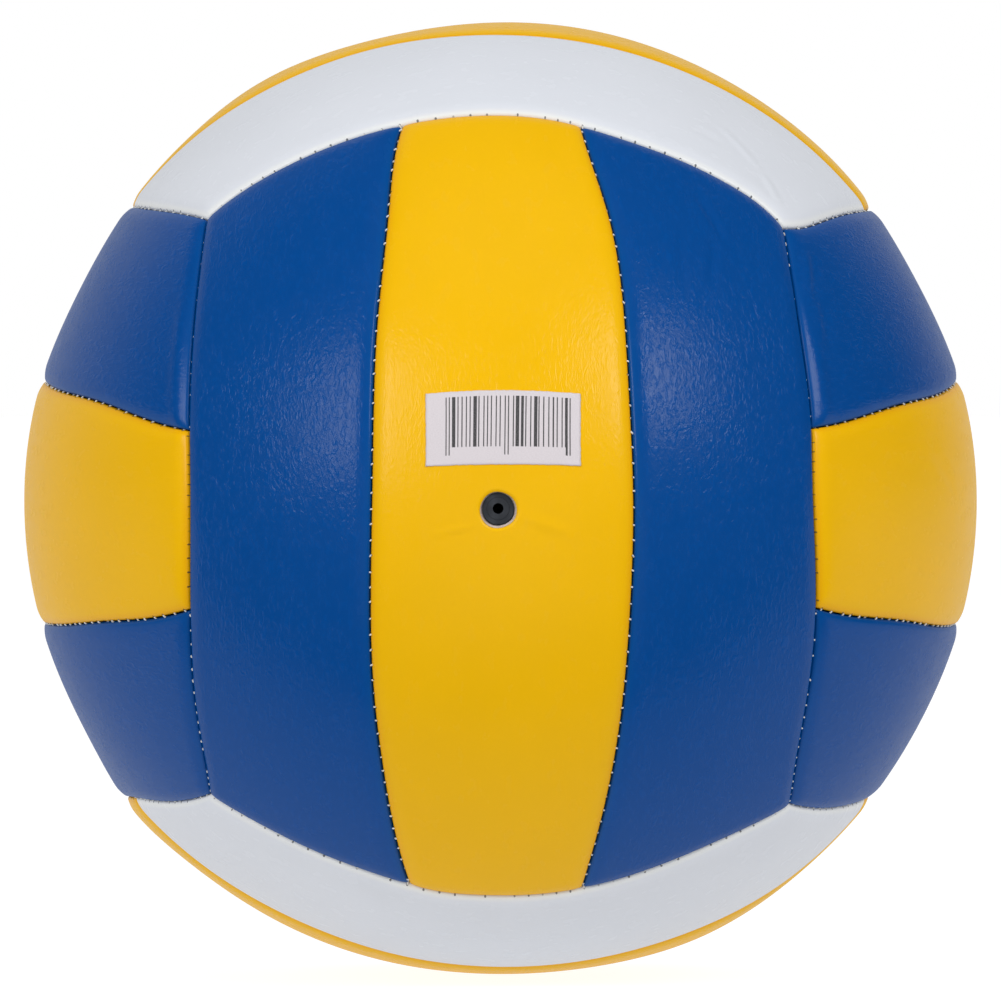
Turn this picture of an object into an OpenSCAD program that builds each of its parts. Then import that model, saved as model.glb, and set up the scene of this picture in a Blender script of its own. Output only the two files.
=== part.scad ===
// An eighteen-panel volleyball, sewn from padded strips around a rubber bladder.
//
// The cover follows a cube swollen to a sphere. Each of the six faces is three strips side by
// side, and the ends of a face's strips meet the long side of the next face. Every seam is a
// circle on the ball, and each panel wall stands square to the surface along such a circle.
// The origin is the centre of the ball, +Z is up and the valve looks along -Y.

/* [Ball] */
// Diameter over the panels
ball_d = 210; // [180:1:230]

/* [Seams] */
// Width of a middle strip at the centre of its face
mid_strip_w = 54; // [44:0.5:62]
// Width of a middle strip at its two ends
mid_strip_end_w = 37.5; // [30:0.5:44]
// Lean of the seam between two faces, in degrees
face_tilt = 11.9; // [8:0.1:14]
// Gap left where two panels meet
seam_gap = 0.2; // [0.1:0.05:0.4]
// Radius of the rolled lip along the sides of a strip
lip_r = 2.5; // [1.8:0.1:3.2]
// Radius of the rolled lip across the ends of a strip
end_lip_r = 2.8; // [1.9:0.1:3.5]

/* [Cover] */
// Thickness of the panel skin and its turned-in edges
skin_t = 1.0; // [0.6:0.1:1.4]
// Thickness of the foam backing
foam_t = 3.0; // [2:0.1:4]
// Clearance between layers that lie on each other
ease = 0.05; // [0.02:0.01:0.1]
// Diameter of the hole for the valve in the skin
valve_hole_d = 7.8; // [7:0.1:10]

/* [Stitching] */
// Diameter of the sewing thread
thread_d = 0.7; // [0.4:0.05:0.9]
// Pitch of the stitches in the seams inside a face
face_pitch = 3.2; // [2.4:0.1:5]
// Pitch of the stitches in the seams between faces
edge_pitch = 2.5; // [2:0.1:5]

/* [Bladder] */
// Wall of the bladder
bladder_t = 0.8; // [0.5:0.1:1.5]

/* [Valve] */
// Diameter of the valve neck, which shows in the hole
neck_d = 6.5; // [6:0.1:7]
// How far the top of the valve lies below the skin
valve_recess = 0.9; // [0.5:0.1:1.5]
// Diameter of the flange inside the bladder
valve_flange_d = 28; // [20:1:40]
// Thickness of the flange
valve_flange_t = 1.4; // [1:0.1:2]
// Diameter of the rubber core that the needle goes through
core_d = 4.6; // [4:0.1:5]
// Length of the valve from its top to its inner end
valve_l = 16; // [14:0.5:20]
// Diameter of the bulb at the inner end of the core
core_bulb_d = 7.4; // [6.5:0.1:9]
// Length of that bulb
core_bulb_l = 2.4; // [1.5:0.1:4]
// Diameter of the needle passage
needle_bore_d = 2.2; // [1.8:0.1:2.6]
// Depth of the needle passage below the top of the valve
needle_bore_l = 12; // [8:0.5:13]
// Diameter of the reinforcing patch under the foam
patch_d = 36; // [30:1:44]
// Thickness of the patch
patch_t = 0.6; // [0.4:0.1:1]

/* [Label] */
// Width of the paper label
label_w = 33; // [20:1:36]
// Height of the label
label_h = 17; // [10:1:20]
// Thickness of the label
label_t = 0.12; // [0.08:0.01:0.3]
// Height of its middle above the valve
label_rise = 17.5; // [16:0.5:30]

/* [Hidden] */
$fn = 96;

ball_r = ball_d / 2;

// Longer than any cut through the ball from its centre.
reach = 2 * ball_r;

// Layers, from the outside in.
foam_r = ball_r - skin_t - ease;
foam_in_r = foam_r - foam_t;
bladder_r = foam_in_r - ease;
bladder_in_r = bladder_r - bladder_t;

// Seams between faces: circles through the corners of the cube. The angle is measured at the
// centre of the ball, from the circle's axis, which leans by face_tilt from the cube's axis.
edge_turn = acos((cos(face_tilt) - sin(face_tilt)) / sqrt(3));

// Seams inside a face: the circle through the side of the middle strip at the centre of the
// face and at its end, given as side = offset + slope * height above the centre of the ball.
mid_side = mid_strip_w / 2;
end_side = mid_strip_end_w / 2;
mid_height = sqrt(ball_r ^ 2 - mid_side ^ 2);
end_ring = sqrt(ball_r ^ 2 - end_side ^ 2);
end_lean = acos(ball_r * cos(edge_turn) / end_ring) - face_tilt;
end_height = end_ring * cos(end_lean);
end_along = end_ring * sin(end_lean);
strip_slope = (mid_side - end_side) / (mid_height - end_height);
strip_tilt = atan(strip_slope);
strip_turn = acos((mid_side - strip_slope * mid_height) * cos(strip_tilt) / ball_r);

// How far a seam runs to each side of its middle, as an angle about its own axis.
edge_sweep = asin(1 / (sqrt(3) * sin(edge_turn)));
strip_sweep = asin(end_along / (ball_r * sin(strip_turn)));

// The thread lies in the groove, against the lips, or against the smaller of the two.
lip_inset = seam_gap / 2;
end_lip_more = end_lip_r - lip_r;
thread_r = thread_d / 2;
small_lip_r = min(lip_r, end_lip_r);
lip_gap = small_lip_r + thread_r + ease;
thread_depth = small_lip_r - sqrt(lip_gap ^ 2 - (lip_inset + small_lip_r) ^ 2);
stitch_share = 0.4;
strip_count = round(strip_sweep * PI / 90 * ball_r * sin(strip_turn) / face_pitch);
edge_count = round(edge_sweep * PI / 90 * ball_r * sin(edge_turn) / edge_pitch);

// The lip is rounded in equal steps of this angle outside, and has one bevel inside. At the
// ends of a strip the steps are larger, up to the one bevel.
outer_step = 30;
inner_step = 90;
end_step_share = 1.5;

// A stretch of wall that rises by a smaller share of its length along the seam's axis is
// flat. Balls larger than the cover are drawn with more facets.
flat_share = 0.06;
wide_fn = 240;

// Valve, all on the -Y axis.
valve_top_r = ball_r - valve_recess;
valve_end_r = valve_top_r - valve_l;
neck_wall_gap = 2 * ease;
foam_hole_d = neck_d + neck_wall_gap;

yellow = [0.93, 0.70, 0.02];
blue = [0.06, 0.29, 0.58];
white = [0.86, 0.87, 0.89];
foam_grey = [0.92, 0.88, 0.84];
thread_white = [0.95, 0.95, 0.93];
rubber_black = [0.10, 0.10, 0.11];
rubber_grey = [0.25, 0.25, 0.27];
cloth_grey = [0.55, 0.55, 0.52];
paper_white = [0.97, 0.97, 0.97];

// A point beside a seam, in the plane through the seam circle's axis. out is its distance
// from the centre along the seam's cone, and away its distance from the cone, positive
// towards the axis.
function beside_seam(turn, out, away) =
    [out * sin(turn) - away * cos(turn), out * cos(turn) + away * sin(turn)];

// The profile of a panel's edge on one side of a seam (1 towards the axis, -1 away from it):
// the wall, then the rounded lip up to the surface at radius r, in steps of an angle.
function edge_profile(turn, side, r, inset, lip, step) = concat(
    [beside_seam(turn, bladder_r, side * inset)],
    [
        for (a = [0:step:90])
            beside_seam(turn, r - lip * (1 - sin(a)), side * (inset + lip * (1 - cos(a))))
    ]
);

// Two points of a profile, turned about the seam's axis, are two circles, and one sphere
// centred on the axis passes through both. This is the height of its centre.
function zone_height(p, q) = (q * q - p * p) / (2 * (q[1] - p[1]));

// The half of space beyond a height on an axis, and the ball that holds a zone.
module half_space(axis, side, height) {
    rotate(acos(axis[2]), cross([0, 0, 1], axis))
        translate([0, 0, height - (1 - side) * reach / 2])
            cylinder(r = reach, h = reach);
}
module zone_ball(axis, p, q) {
    height = zone_height(p, q);
    zone_r = norm(p - [0, height]);
    translate(height * axis) sphere(zone_r, $fn = zone_r > ball_r ? wide_fn : $fn);
}

// Cuts its children along a profile, each stretch of which is a zone of such a sphere, or
// flat where it hardly rises, so that walls and lips meet one another in true circles.
module cut_along(axis, side, profile, i = 0) {
    if (i > len(profile) - 2) {
        children();
    } else {
        p = profile[i];
        q = profile[i + 1];
        rise = side * (q[1] - p[1]);
        if (abs(rise) < flat_share * norm(q - p))
            intersection() {
                cut_along(axis, side, profile, i + 1) children();
                half_space(axis, side, (p[1] + q[1]) / 2);
            }
        else if (rise > 0)
            intersection() {
                cut_along(axis, side, profile, i + 1) children();
                zone_ball(axis, p, q);
            }
        else
            difference() {
                cut_along(axis, side, profile, i + 1) children();
                zone_ball(axis, p, q);
            }
    }
}

// Axes of the seams of the top face, whose strips run along X: at the two ends of the
// strips, on the two long sides of the face, and on the two sides of the middle strip.
function end_axis(end) = [-end * sin(face_tilt), 0, cos(face_tilt)];
function long_axis(side) = [0, side * cos(face_tilt), -sin(face_tilt)];
function strip_axis(side) = [0, side * cos(strip_tilt), -sin(strip_tilt)];

// A ball cut off at the two ends of the top face.
module end_cut_ball(r, inset, lip, step) {
    end_step = min(end_step_share * step, 90);
    ends = edge_profile(edge_turn, 1, r, inset, lip + end_lip_more, end_step);
    cut_along(end_axis(1), 1, ends)
        cut_along(end_axis(-1), 1, ends)
            sphere(r);
}

// The middle strip of the top face, solid towards the centre.
module middle_block(r, inset, lip, step) {
    sides = edge_profile(strip_turn, -1, r, inset, lip, step);
    cut_along(strip_axis(1), -1, sides)
        cut_along(strip_axis(-1), -1, sides)
            end_cut_ball(r, inset, lip, step);
}

// The outer strip of the top face on its +Y side.
module side_block(r, inset, lip, step) {
    inner_side = edge_profile(strip_turn, 1, r, inset, lip, step);
    outer_side = edge_profile(edge_turn, -1, r, inset, lip, step);
    cut_along(strip_axis(1), 1, inner_side)
        cut_along(long_axis(1), -1, outer_side)
            end_cut_ball(r, inset, lip, step);
}

// A strip of the top face: 0 is the middle one, and 1 and -1 those on its +Y and -Y sides.
module strip_block(strip, r, inset, lip, step) {
    if (strip == 0) middle_block(r, inset, lip, step);
    if (strip == 1) side_block(r, inset, lip, step);
    if (strip == -1) rotate([0, 0, 180]) side_block(r, inset, lip, step);
}

// The skin of a panel: a shallow tray whose edges turn in along the seams.
module skin(strip) {
    difference() {
        strip_block(strip, ball_r, lip_inset, lip_r, outer_step);
        strip_block(strip, ball_r - skin_t, lip_inset + skin_t, lip_r - skin_t, inner_step);
        sphere(foam_in_r);
    }
}

// The foam that fills the tray.
module foam(strip) {
    difference() {
        strip_block(strip, foam_r, lip_inset + skin_t + ease, lip_r - skin_t, inner_step);
        sphere(foam_in_r);
    }
}

// Turns that carry the top face to each of the six faces.
module on_top() {
    children();
}
module on_bottom() {
    rotate([180, 0, 0]) children();
}
module on_right() {
    rotate(120, [1, 1, 1]) children();
}
module on_left() {
    rotate(120, [1, 1, 1]) rotate([180, 0, 0]) children();
}
module on_back() {
    rotate(240, [1, 1, 1]) children();
}
module on_front() {
    rotate(240, [1, 1, 1]) rotate([180, 0, 0]) children();
}

// Carries a shape that stands on the +Z axis to the valve's axis, -Y.
module on_valve_axis() {
    rotate([90, 0, 0]) children();
}

// Stitches: short strands lying in the groove, one row for each of the two seams inside the
// top face, and one for each of the two at the ends of its strips.
module stitch(turn, sweep, count, number, pitch) {
    spot = beside_seam(turn, ball_r - thread_depth, 0);
    rotate([0, 0, (2 * (number + 0.5) / count - 1) * sweep])
        translate([spot[0], 0, spot[1]])
            rotate([90, 0, 0])
                cylinder(r = thread_r, h = stitch_share * pitch, center = true, $fn = 16);
}
module face_stitches() {
    for (side = [-1, 1], i = [0:strip_count - 1])
        rotate([-side * (90 + strip_tilt), 0, 0])
            rotate([0, 0, -side * 90])
                stitch(strip_turn, strip_sweep, strip_count, i, face_pitch);
}
module edge_stitches() {
    for (end = [-1, 1], i = [0:edge_count - 1])
        rotate([0, -end * face_tilt, 0])
            rotate([0, 0, 90 - end * 90])
                stitch(edge_turn, edge_sweep, edge_count, i, edge_pitch);
}

// Panels
module front_left_panel() {
    color(blue) on_front() skin(1);
}
module front_middle_panel() {
    color(yellow)
        difference() {
            on_front() skin(0);
            on_valve_axis() cylinder(d = valve_hole_d, h = reach);
        }
}
module front_right_panel() {
    color(blue) on_front() skin(-1);
}
module back_left_panel() {
    color(white) on_back() skin(-1);
}
module back_middle_panel() {
    color(yellow) on_back() skin(0);
}
module back_right_panel() {
    color(white) on_back() skin(1);
}
module left_upper_panel() {
    color(blue) on_left() skin(-1);
}
module left_middle_panel() {
    color(yellow) on_left() skin(0);
}
module left_lower_panel() {
    color(blue) on_left() skin(1);
}
module right_upper_panel() {
    color(blue) on_right() skin(1);
}
module right_middle_panel() {
    color(yellow) on_right() skin(0);
}
module right_lower_panel() {
    color(blue) on_right() skin(-1);
}
module top_front_panel() {
    color(white) on_top() skin(-1);
}
module top_middle_panel() {
    color(yellow) on_top() skin(0);
}
module top_back_panel() {
    color(white) on_top() skin(1);
}
module bottom_front_panel() {
    color(white) on_bottom() skin(1);
}
module bottom_middle_panel() {
    color(yellow) on_bottom() skin(0);
}
module bottom_back_panel() {
    color(white) on_bottom() skin(-1);
}

// Foam backing
module front_left_foam() {
    color(foam_grey) on_front() foam(1);
}
module front_middle_foam() {
    color(foam_grey)
        difference() {
            on_front() foam(0);
            on_valve_axis() cylinder(d = foam_hole_d, h = reach);
            on_valve_axis()
                intersection() {
                    sphere(bladder_r + patch_t + ease);
                    cylinder(d = patch_d + neck_wall_gap, h = reach);
                }
        }
}
module front_right_foam() {
    color(foam_grey) on_front() foam(-1);
}
module back_left_foam() {
    color(foam_grey) on_back() foam(-1);
}
module back_middle_foam() {
    color(foam_grey) on_back() foam(0);
}
module back_right_foam() {
    color(foam_grey) on_back() foam(1);
}
module left_upper_foam() {
    color(foam_grey) on_left() foam(-1);
}
module left_middle_foam() {
    color(foam_grey) on_left() foam(0);
}
module left_lower_foam() {
    color(foam_grey) on_left() foam(1);
}
module right_upper_foam() {
    color(foam_grey) on_right() foam(1);
}
module right_middle_foam() {
    color(foam_grey) on_right() foam(0);
}
module right_lower_foam() {
    color(foam_grey) on_right() foam(-1);
}
module top_front_foam() {
    color(foam_grey) on_top() foam(-1);
}
module top_middle_foam() {
    color(foam_grey) on_top() foam(0);
}
module top_back_foam() {
    color(foam_grey) on_top() foam(1);
}
module bottom_front_foam() {
    color(foam_grey) on_bottom() foam(1);
}
module bottom_middle_foam() {
    color(foam_grey) on_bottom() foam(0);
}
module bottom_back_foam() {
    color(foam_grey) on_bottom() foam(-1);
}

// Sewing thread
module front_seam_threads() {
    color(thread_white) on_front() face_stitches();
}
module back_seam_threads() {
    color(thread_white) on_back() face_stitches();
}
module left_seam_threads() {
    color(thread_white) on_left() face_stitches();
}
module right_seam_threads() {
    color(thread_white) on_right() face_stitches();
}
module top_seam_threads() {
    color(thread_white) on_top() face_stitches();
}
module bottom_seam_threads() {
    color(thread_white) on_bottom() face_stitches();
}
module front_edge_threads() {
    color(thread_white) on_front() edge_stitches();
}
module back_edge_threads() {
    color(thread_white) on_back() edge_stitches();
}
module left_edge_threads() {
    color(thread_white) on_left() edge_stitches();
}
module right_edge_threads() {
    color(thread_white) on_right() edge_stitches();
}
module top_edge_threads() {
    color(thread_white) on_top() edge_stitches();
}
module bottom_edge_threads() {
    color(thread_white) on_bottom() edge_stitches();
}

// The bladder, a closed rubber ball pierced only by the valve's neck.
module bladder() {
    color(rubber_black)
        difference() {
            sphere(bladder_r);
            sphere(bladder_in_r);
            on_valve_axis() cylinder(d = foam_hole_d, h = reach);
        }
}

// A cloth ring under the foam that keeps the bladder from bulging into the valve hole.
module valve_patch() {
    color(cloth_grey)
        on_valve_axis()
            difference() {
                intersection() {
                    sphere(bladder_r + patch_t);
                    cylinder(d = patch_d, h = reach);
                }
                sphere(bladder_r + ease);
                cylinder(d = foam_hole_d, h = reach);
            }
}

// The neck and its flange, which is bonded to the inside of the bladder.
module valve_housing() {
    color(rubber_grey)
        on_valve_axis()
            difference() {
                union() {
                    translate([0, 0, valve_end_r + core_bulb_l + ease])
                        cylinder(d = neck_d, h = valve_l - core_bulb_l - ease);
                    difference() {
                        intersection() {
                            sphere(bladder_in_r - ease);
                            cylinder(d = valve_flange_d, h = reach);
                        }
                        sphere(bladder_in_r - ease - valve_flange_t);
                    }
                }
                cylinder(d = core_d + neck_wall_gap, h = reach);
            }
}

// The rubber core that the needle goes through. Its bulb holds it in the neck.
module valve_core() {
    color(rubber_black)
        on_valve_axis()
            difference() {
                union() {
                    translate([0, 0, valve_end_r])
                        cylinder(d = core_d, h = valve_l);
                    translate([0, 0, valve_end_r])
                        cylinder(d = core_bulb_d, h = core_bulb_l);
                }
                translate([0, 0, valve_top_r - needle_bore_l])
                    cylinder(d = needle_bore_d, h = reach);
            }
}

// The paper label, bent to the ball.
module paper_label() {
    color(paper_white)
        intersection() {
            difference() {
                sphere(ball_r + ease + label_t);
                sphere(ball_r + ease);
            }
            translate([-label_w / 2, -reach, label_rise - label_h / 2])
                cube([label_w, reach, label_h]);
        }
}

front_left_panel();
front_middle_panel();
front_right_panel();
back_left_panel();
back_middle_panel();
back_right_panel();
left_upper_panel();
left_middle_panel();
left_lower_panel();
right_upper_panel();
right_middle_panel();
right_lower_panel();
top_front_panel();
top_middle_panel();
top_back_panel();
bottom_front_panel();
bottom_middle_panel();
bottom_back_panel();
front_left_foam();
front_middle_foam();
front_right_foam();
back_left_foam();
back_middle_foam();
back_right_foam();
left_upper_foam();
left_middle_foam();
left_lower_foam();
right_upper_foam();
right_middle_foam();
right_lower_foam();
top_front_foam();
top_middle_foam();
top_back_foam();
bottom_front_foam();
bottom_middle_foam();
bottom_back_foam();
front_seam_threads();
back_seam_threads();
left_seam_threads();
right_seam_threads();
top_seam_threads();
bottom_seam_threads();
front_edge_threads();
back_edge_threads();
left_edge_threads();
right_edge_threads();
top_edge_threads();
bottom_edge_threads();
bladder();
valve_patch();
valve_housing();
valve_core();
paper_label();
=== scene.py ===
import math

import bpy
import numpy as np
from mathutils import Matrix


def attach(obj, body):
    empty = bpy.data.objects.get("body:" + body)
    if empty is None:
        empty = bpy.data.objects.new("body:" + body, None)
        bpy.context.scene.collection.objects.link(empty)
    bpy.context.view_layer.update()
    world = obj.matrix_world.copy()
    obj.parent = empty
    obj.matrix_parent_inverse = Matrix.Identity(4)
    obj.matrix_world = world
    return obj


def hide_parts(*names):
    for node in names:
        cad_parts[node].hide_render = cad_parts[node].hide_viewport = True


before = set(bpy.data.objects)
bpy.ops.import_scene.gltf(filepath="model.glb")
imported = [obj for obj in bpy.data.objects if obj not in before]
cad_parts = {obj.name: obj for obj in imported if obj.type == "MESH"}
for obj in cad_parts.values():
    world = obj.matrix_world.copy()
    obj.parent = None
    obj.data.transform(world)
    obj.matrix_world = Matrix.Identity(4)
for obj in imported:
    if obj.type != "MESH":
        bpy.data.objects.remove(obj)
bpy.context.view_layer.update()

MM = 0.001

# The ball and its seams, in millimetres and radians, with the values of the CAD source.
BALL_R = 105.0
FACE_TILT = math.radians(11.9)
MID_STRIP_W = 54.0
MID_STRIP_END_W = 37.5
SKIN_T = 1.0
EASE = 0.05
INNER_DEPTH = 4.05
WIDE_PITCH = 3.2
TIGHT_PITCH = 2.5

# The holes for the valve: in the cover as the photograph shows it, and in the foam.
VALVE_HOLE_R = 3.75
FOAM_HOLE_R = 3.32

# What follows from them: the angles of the seam circles and how far each seam runs.
EDGE_TURN = math.acos((math.cos(FACE_TILT) - math.sin(FACE_TILT)) / math.sqrt(3))
MID_SIDE = MID_STRIP_W / 2
END_SIDE = MID_STRIP_END_W / 2
MID_HEIGHT = math.sqrt(BALL_R**2 - MID_SIDE**2)
END_RING = math.sqrt(BALL_R**2 - END_SIDE**2)
END_LEAN = math.acos(BALL_R * math.cos(EDGE_TURN) / END_RING) - FACE_TILT
STRIP_SLOPE = (MID_SIDE - END_SIDE) / (MID_HEIGHT - END_RING * math.cos(END_LEAN))
STRIP_TILT = math.atan(STRIP_SLOPE)
STRIP_TURN = math.acos((MID_SIDE - STRIP_SLOPE * MID_HEIGHT) * math.cos(STRIP_TILT) / BALL_R)
EDGE_SWEEP = math.asin(1 / (math.sqrt(3) * math.sin(EDGE_TURN)))
STRIP_SWEEP = math.asin(END_RING * math.sin(END_LEAN) / (BALL_R * math.sin(STRIP_TURN)))

# How a panel's surface falls beside a seam: a soft roll, then a small round edge.
INSET = 0.14
ROLL_W = 3.8
ROLL_DEPTH = 0.8
EDGE_R = 0.55

# A panel's grid: distances of its rows and columns from the seams, and how many lie between.
EDGE_STEPS = [0, 0.06, 0.16, 0.3, 0.5, 0.8, 1.2, 1.75, 2.5, 3.4]
COLUMNS_PER_STITCH = 4
ROW_COUNT = 53
COARSE_STEP = 6
END_COLUMNS = 6

# Depths of a panel's walls, and the film between the cover's underside and the foam.
WALL_MIDDLE = 2.2
FILM = 0.15
HOLE_WALL_DEPTHS = (0.1, 0.35, 0.7)

# The panel with the valve, and its punched hole: half its square in cells, and how far
# round it the grid gives way, in half squares and in millimetres to each. Its waves are a
# number, a share and a start.
PIERCED_PANEL = "front_middle"
HOLE_CELLS = 4
HOLE_REACH = 3.4
HOLE_SPREAD = 3.4
HOLE_WAVES = ((3, 0.012, 0.6), (5, 0.008, 0.0))
TINY = 1e-6

# Turns that carry the canonical face, +Z with its strips along X, to each face. HALF turns
# one of its outer strips into the other.
THIRD = np.array([[0, 0, 1], [1, 0, 0], [0, 1, 0]], float)
FLIP = np.diag([1.0, -1.0, -1.0])
HALF = np.diag([-1.0, -1.0, 1.0])
FACES = {
    "top": np.eye(3),
    "bottom": FLIP,
    "right": THIRD,
    "left": THIRD @ FLIP,
    "back": THIRD @ THIRD,
    "front": THIRD @ THIRD @ FLIP,
}
STRIPS = {
    "front": {"left": 1, "middle": 0, "right": -1},
    "back": {"left": -1, "middle": 0, "right": 1},
    "left": {"upper": -1, "middle": 0, "lower": 1},
    "right": {"upper": 1, "middle": 0, "lower": -1},
    "top": {"front": -1, "middle": 0, "back": 1},
    "bottom": {"front": 1, "middle": 0, "back": -1},
}
BLUE_FACES = ("front", "left", "right")

# The stitches are tighter where the strips of the left and right faces end.
TIGHT_SEAMS = (("left", "end"), ("right", "end"), ("front", "long"), ("back", "long"))


def seam_facts(face, kind):
    """A seam's angle about its axis, how far it runs to each side, and its stitches."""
    turn = STRIP_TURN if kind == "strip" else EDGE_TURN
    sweep = STRIP_SWEEP if kind == "strip" else EDGE_SWEEP
    pitch = TIGHT_PITCH if (face, kind) in TIGHT_SEAMS else WIDE_PITCH
    return turn, sweep, round(2 * sweep * BALL_R * math.sin(turn) / pitch)


def seam_axis(kind, side):
    """The axis of a seam circle of the canonical face."""
    if kind == "end":
        return np.array([-side * math.sin(FACE_TILT), 0, math.cos(FACE_TILT)])
    tilt = FACE_TILT if kind == "long" else STRIP_TILT
    return np.array([0, side * math.cos(tilt), -math.sin(tilt)])


# How the real ball departs from the ideal one: each place of the seam pattern as a
# direction, and how far the photograph shows it moved along X, Y and Z in millimetres.
SEAM_SHIFTS = {
    "valve": ((0, -1, 0), (0, 0, -0.3)),
    "top_left_corner": ((-0.577, -0.577, 0.577), (-4.2, 0, 2.7)),
    "top_right_corner": ((0.577, -0.577, 0.577), (-2.1, 0, -4.3)),
    "bottom_left_corner": ((-0.577, -0.577, -0.577), (-3.8, 0, -4)),
    "bottom_right_corner": ((0.577, -0.577, -0.577), (7.9, 0, -10.1)),
    "strip_top_left": ((-0.179, -0.617, 0.766), (-2.2, 0, 1.5)),
    "strip_top_right": ((0.179, -0.617, 0.766), (-1.5, 0, -0.6)),
    "strip_bottom_left": ((-0.179, -0.617, -0.766), (-0.5, 0, 0.6)),
    "strip_bottom_right": ((0.179, -0.617, -0.766), (-0.7, 0, -2.3)),
    "strip_left_side": ((-0.257, -0.966, 0), (0.8, 0, 0)),
    "strip_right_side": ((0.257, -0.966, 0), (1.2, 0, 0)),
    "top_middle": ((0, -0.621, 0.784), (0.8, 0, 1.3)),
    "bottom_middle": ((0, -0.621, -0.784), (0.2, 0, -1.8)),
    "left_upper_seam": ((-0.617, -0.766, 0.179), (0.2, 0, -2.9)),
    "left_lower_seam": ((-0.617, -0.766, -0.179), (-0.8, 0, -3.2)),
    "right_upper_seam": ((0.617, -0.766, 0.179), (1.1, 0, -2.3)),
    "right_lower_seam": ((0.617, -0.766, -0.179), (4, 0, -3.4)),
    "left_seam_middle": ((-0.621, -0.784, 0), (0.7, 0, 0)),
    "right_seam_middle": ((0.621, -0.784, 0), (1.5, 0, 0)),
    "top_sliver_left": ((-0.659, -0.174, 0.732), (0, 8, 0)),
    "top_sliver_middle": ((-0.3, -0.235, 0.925), (0, 4.5, 0)),
    "top_sliver_right": ((0.695, -0.174, 0.695), (0, -0.8, 0)),
    "bottom_sliver_left": ((-0.415, -0.174, -0.893), (0, -3.5, 0)),
    "bottom_sliver_middle": ((0.17, -0.174, -0.97), (0, 1.5, 0)),
    "bottom_sliver_right": ((0.634, -0.15, -0.758), (0, 10, 0)),
    "left_strip_high": ((-0.213, -0.771, 0.6), (-0.9, 0, 0.9)),
    "left_strip_upper": ((-0.239, -0.885, 0.4), (0.1, 0, -0.8)),
    "left_strip_raised": ((-0.252, -0.942, 0.22), (0.6, 0, -0.9)),
    "left_strip_lower": ((-0.243, -0.905, -0.35), (-0.7, 0, -1.1)),
    "right_strip_high": ((0.213, -0.771, 0.6), (0.3, 0, -0.7)),
    "right_strip_upper": ((0.239, -0.885, 0.4), (1.1, 0, -1.2)),
    "right_strip_raised": ((0.252, -0.942, 0.22), (0.9, 0, -0.7)),
    "right_strip_lower": ((0.243, -0.905, -0.35), (0.9, 0, -1.6)),
    "top_seam_left": ((-0.38, -0.603, 0.701), (-6.1, 0, 1.1)),
    "top_seam_right": ((0.48, -0.592, 0.647), (-1.6, 0, -2)),
    "top_seam_mid_right": ((0.34, -0.607, 0.718), (-3.2, 0, -1.8)),
    "bottom_seam_far_left": ((-0.485, -0.591, -0.644), (-4.6, 0, -0.2)),
    "bottom_seam_left": ((-0.31, -0.609, -0.73), (-2.3, 0, 1.6)),
    "bottom_seam_right": ((0.32, -0.609, -0.726), (0.3, 0, -1.7)),
    "bottom_seam_far_right": ((0.445, -0.596, -0.668), (4.3, 0, -3.1)),
    "left_seam_high": ((-0.605, -0.71, 0.36), (-0.5, 0, -3.3)),
    "left_seam_low": ((-0.604, -0.706, -0.37), (-3.8, 0, -7.8)),
    "right_seam_high": ((0.596, -0.665, 0.45), (-2.2, 0, -5.3)),
    "right_seam_upper": ((0.609, -0.726, 0.32), (-0.6, 0, -5.4)),
    "right_seam_low": ((0.601, -0.692, -0.4), (5.7, 0, -10)),
    "left_upper_limb": ((-0.9, -0.362, 0.242), (-0.2, 0, -1.3)),
    "left_upper_side": ((-0.74, -0.64, 0.206), (-0.1, 0, -2.3)),
    "left_lower_side": ((-0.75, -0.628, -0.209), (-1, 0, -3)),
    "right_upper_side": ((0.74, -0.64, 0.206), (0.3, 0, -2.5)),
    "right_upper_limb": ((0.89, -0.388, 0.24), (0.1, 0, -2.1)),
    "right_lower_side": ((0.76, -0.615, -0.211), (3.7, 0, -2.9)),
    "right_lower_limb": ((0.9, -0.362, -0.242), (1, 0, -1.5)),
    "top_left_side": ((-0.69, -0.403, 0.601), (-2.2, 3.2, 1)),
    "bottom_left_side": ((-0.69, -0.403, -0.601), (-3.1, 0, -4.6)),
    "bottom_right_side": ((0.67, -0.442, -0.597), (5.9, 2.5, -8.5)),
    "top_right_side": ((0.66, -0.461, 0.595), (-2.7, 0, -4.1)),
    "top_right_limb": ((0.755, -0.216, 0.615), (-0.2, -2.4, -0.8)),
    "left_lower_limb": ((-0.88, -0.411, -0.238), (-0.2, 0, -1.3)),
}
SHIFT_REACH = 17.0

# Small bulges of the seams between those places, in the same form.
LOCAL_SHIFTS = {
    "top_right_shoulder": ((0.545, -0.6, 0.585), (0, 0, 3.7)),
    "top_right_drop": ((0.572, -0.583, 0.577), (0.4, 0, -1.8)),
    "bottom_yellow_corner": ((-0.13, -0.617, -0.777), (0, 0, -1.9)),
}
LOCAL_REACH = 6.5

# Flats and swellings of the outline: direction in the XZ plane in degrees, height, reach.
SWELLS = {
    "upper_right_flat": (28, -1.5, 15),
    "upper_left_flat": (152, -1.7, 15),
    "lower_left_flat": (208, -0.6, 15),
    "lower_right_flat": (332, -0.5, 15),
    "top_left_swell": (120, 1.5, 16),
    "top_swell": (80, 0.6, 22),
    "bottom_right_swell": (296, 1.2, 16),
    "bottom_flat": (270, -0.7, 22),
    "lower_left_swell": (220, 1.4, 11),
    "lower_right_swell": (308, 0.5, 9),
}


def unit(v):
    v = np.asarray(v, float)
    return v / np.linalg.norm(v, axis=-1, keepdims=True)


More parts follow.
